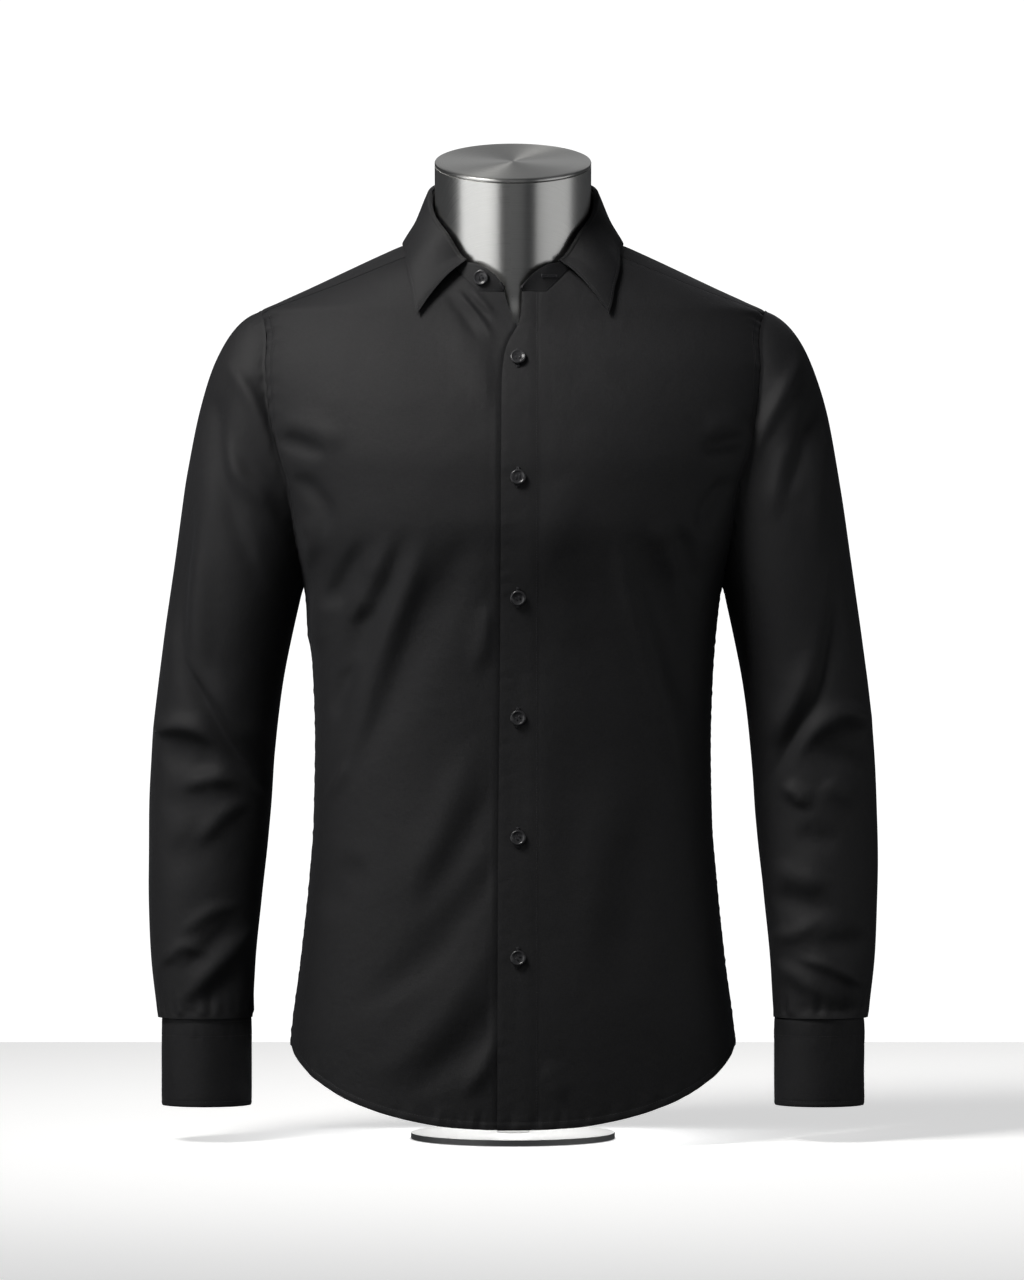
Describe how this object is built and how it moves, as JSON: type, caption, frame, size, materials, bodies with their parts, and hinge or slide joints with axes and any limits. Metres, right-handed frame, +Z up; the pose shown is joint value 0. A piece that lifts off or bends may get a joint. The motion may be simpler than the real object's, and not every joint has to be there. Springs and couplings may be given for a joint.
{
  "type": "dress shirt on a dress form",
  "caption": "Long-sleeved dress shirt with a turned-down collar and a buttoned placket, filled out on a limbless dress form with a steel neck block.",
  "frame": {"origin": "centre of the base plate's underside, on the floor", "axes": "+Z up, -Y towards the shirt's front, +X towards the wearer's left"},
  "size_m": [0.6056, 0.2331, 0.8321],
  "materials": {
    "shirt_cloth": "fine black cotton poplin with a faint sheen",
    "button": "polished dark resin",
    "neck_steel": "brushed round the neck and in circles on the cap",
    "form_shell": "smooth matt shell",
    "stand_lacquer": "satin white powder coat"
  },
  "bodies": {
    "root": {"front_left": "shirt_cloth", "front_right": "shirt_cloth", "placket": "shirt_cloth", "back": "shirt_cloth", "yoke": "shirt_cloth", "collar_stand": "shirt_cloth", "collar_leaf": "shirt_cloth", "sleeve_left": "shirt_cloth", "sleeve_right": "shirt_cloth", "sleeve_placket_left": "shirt_cloth", "sleeve_placket_right": "shirt_cloth", "cuff_left": "shirt_cloth", "cuff_right": "shirt_cloth", "button_cuff_left": "button", "button_cuff_right": "button", "button_front_1": "button", "button_front_2": "button", "button_front_3": "button", "button_front_4": "button", "button_front_5": "button", "button_front_6": "button", "button_collar": "button", "form_torso": "form_shell", "form_neck": "neck_steel", "form_cap": "neck_steel", "form_pole": "stand_lacquer", "form_base": "stand_lacquer"}
  },
  "joints": []
}
